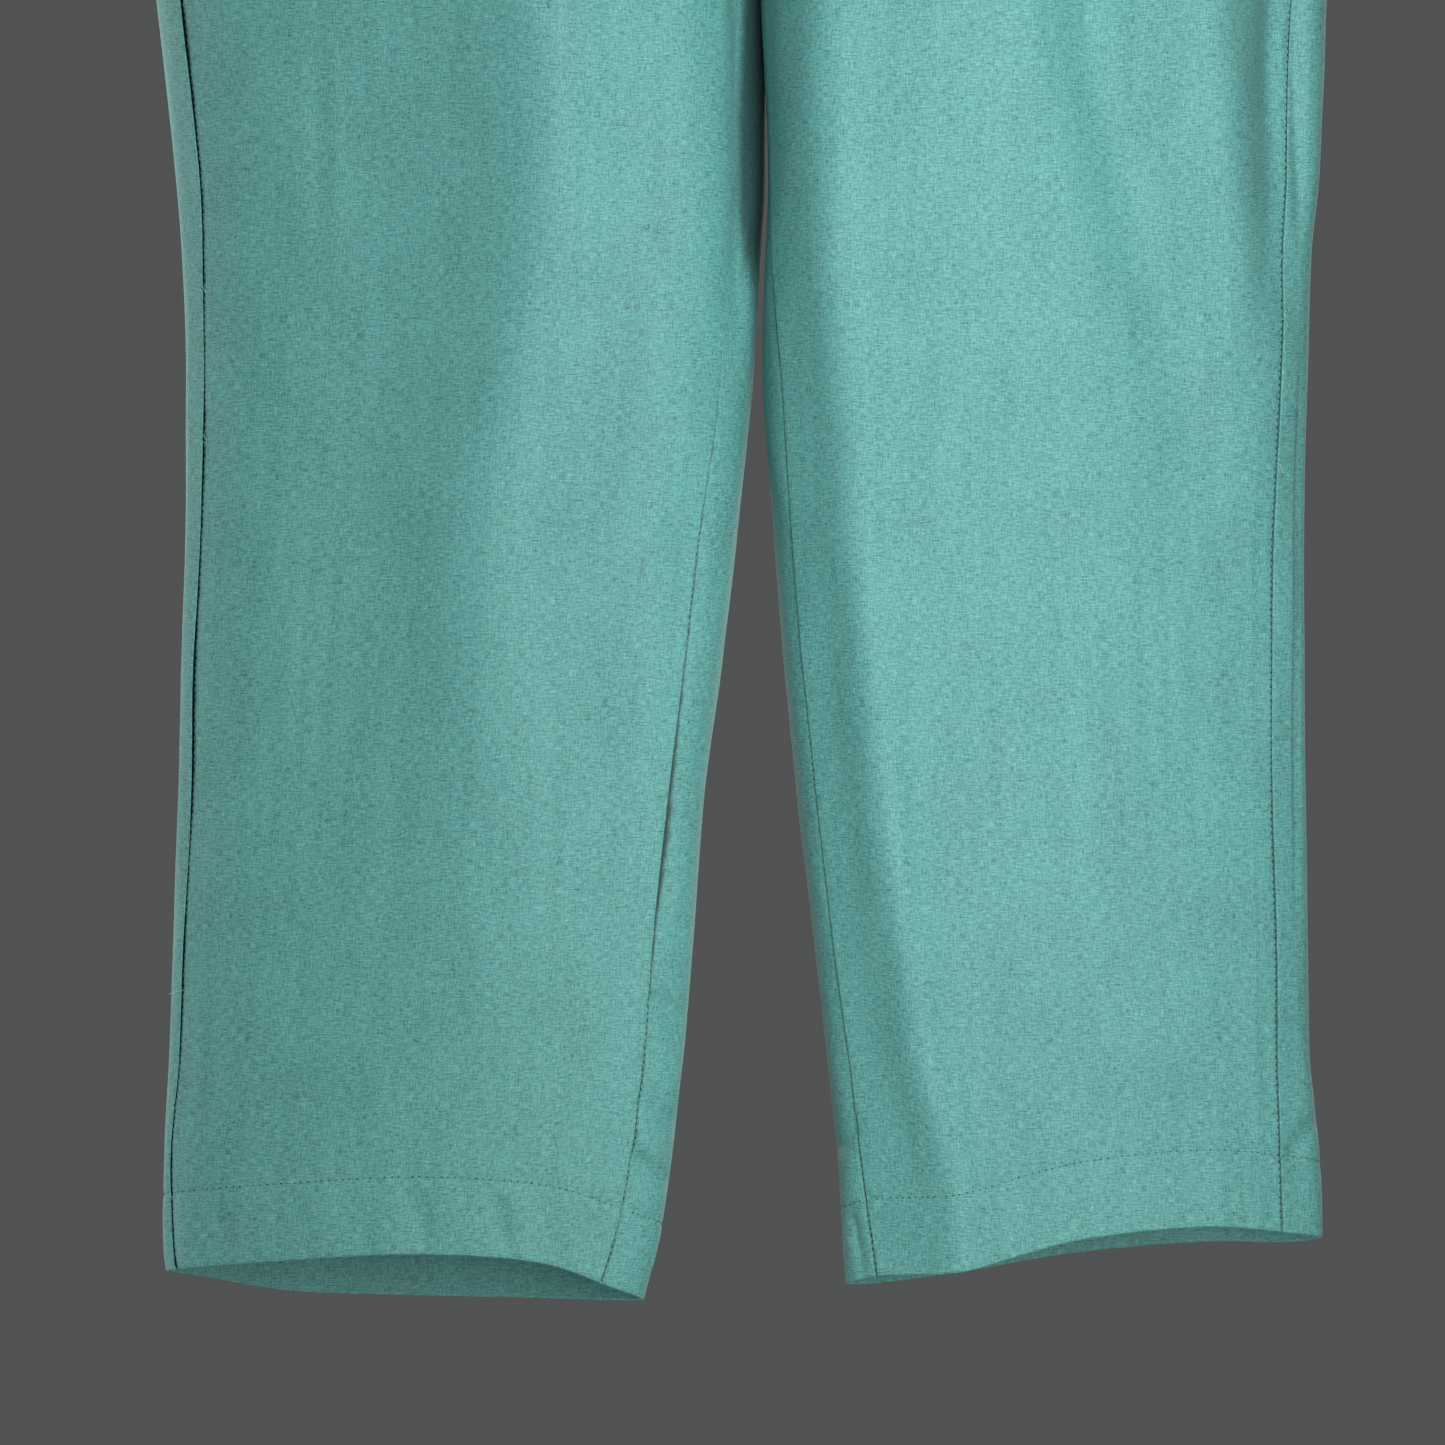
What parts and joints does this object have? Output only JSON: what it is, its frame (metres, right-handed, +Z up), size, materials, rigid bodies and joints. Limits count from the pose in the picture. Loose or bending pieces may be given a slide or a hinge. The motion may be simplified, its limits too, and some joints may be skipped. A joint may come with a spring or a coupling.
{
  "type": "elasticated trousers",
  "caption": "Straight woven trousers hanging hollow from a gathered elastic waist, with stitched turned-up hems.",
  "frame": {"origin": "middle of the waist, half way up the elastic casing", "axes": "+Z up the garment, front of the trousers towards -Y, the wearer's left towards +X"},
  "size_m": [0.5002, 0.1919, 0.9706],
  "materials": {
    "cloth": "matte plain-woven slub cotton",
    "casing": "matte plain-woven slub cotton",
    "turn_up": "matte plain-woven slub cotton"
  },
  "bodies": {
    "root": {"front_panel_right": "cloth", "front_panel_left": "cloth", "back_panel_right": "cloth", "back_panel_left": "cloth", "waistband": "casing", "hem_right": "turn_up", "hem_left": "turn_up"}
  },
  "joints": []
}
